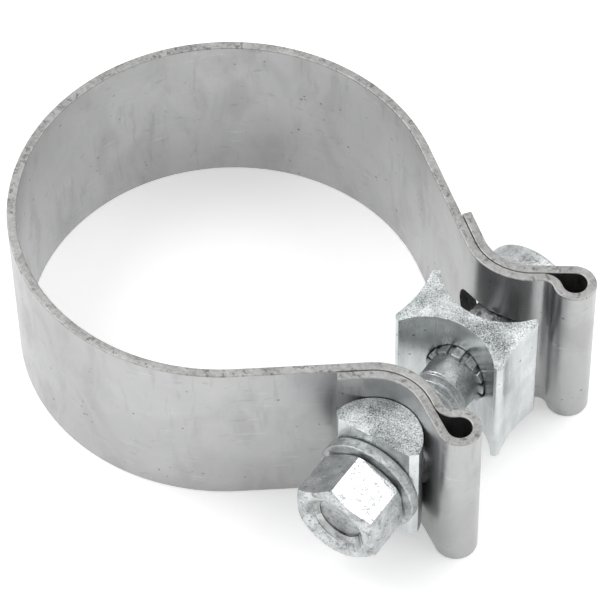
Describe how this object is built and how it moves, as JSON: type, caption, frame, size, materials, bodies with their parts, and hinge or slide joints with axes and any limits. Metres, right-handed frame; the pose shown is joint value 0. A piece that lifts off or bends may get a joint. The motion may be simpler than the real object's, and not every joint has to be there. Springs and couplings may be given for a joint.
{
  "type": "band clamp",
  "caption": "Single-bolt flat band clamp: one folded strip round the pipe, hollowed spacer block, half-round seat bar, washer and hex nut.",
  "frame": {"origin": "centre of the pipe bore, half way up the band", "axes": "+Z along the pipe, +X from the pipe towards the bolt, +Y along the bolt towards its head"},
  "size_m": [0.0981, 0.0732, 0.032],
  "materials": {
    "strip": "satin mill finish, sheared edges",
    "bolt_plate": "bright zinc plate on cold-headed steel",
    "block_plate": "bright zinc plate, granular sawn ends",
    "washer_plate": "bright zinc plate",
    "nut_plate": "bright zinc plate, smooth flats"
  },
  "bodies": {
    "band_back": {"band_back": "strip"},
    "head_arm": {"band_head_arm": "strip"},
    "nut_arm": {"band_nut_arm": "strip"},
    "bolt": {"bolt": "bolt_plate"},
    "spacer": {"spacer_block": "block_plate"},
    "seat_bar": {"seat_bar": "block_plate"},
    "washer": {"washer": "washer_plate"},
    "nut": {"nut": "nut_plate"}
  },
  "joints": [
    {"name": "nut_arm_flex", "type": "hinge", "parent": "band_back", "child": "nut_arm", "pos_m": [-0.031, -0.0179, 0], "axis": [0, 0, 1], "range_deg": [0, 4.8]},
    {"name": "head_arm_flex", "type": "hinge", "parent": "band_back", "child": "head_arm", "pos_m": [-0.031, 0.0179, 0], "axis": [0, 0, -1], "range_deg": [0, 4.8]},
    {"name": "bolt_swivel", "type": "hinge", "parent": "head_arm", "child": "bolt", "pos_m": [0.0455, 0.0238, 0], "axis": [0, 0, 1], "range_deg": [0, 4.8]},
    {"name": "bar_swivel", "type": "hinge", "parent": "nut_arm", "child": "seat_bar", "pos_m": [0.0455, -0.0238, 0], "axis": [0, 0, -1], "range_deg": [0, 4.8]},
    {"name": "spacer_slide", "type": "slide", "parent": "bolt", "child": "spacer", "axis": [0, 1, 0], "range_m": [0, 0.0022]},
    {"name": "nut_spin", "type": "hinge", "parent": "seat_bar", "child": "nut", "pos_m": [0.0455, -0.0307, 0], "axis": [0, 1, 0], "range_deg": [0, 2912.8]},
    {"name": "washer_spin", "type": "hinge", "parent": "seat_bar", "child": "washer", "pos_m": [0.0455, -0.0249, 0], "axis": [0, 1, 0], "continuous": true}
  ],
  "couplings": [
    {"joint": "head_arm_flex", "follows": "nut_arm_flex", "ratio": 1},
    {"joint": "bolt_swivel", "follows": "nut_arm_flex", "ratio": 1},
    {"joint": "bar_swivel", "follows": "nut_arm_flex", "ratio": 1},
    {"joint": "spacer_slide", "follows": "nut_arm_flex", "m_per_rad": 0.02626},
    {"joint": "nut_spin", "follows": "nut_arm_flex", "ratio": 606.83}
  ]
}
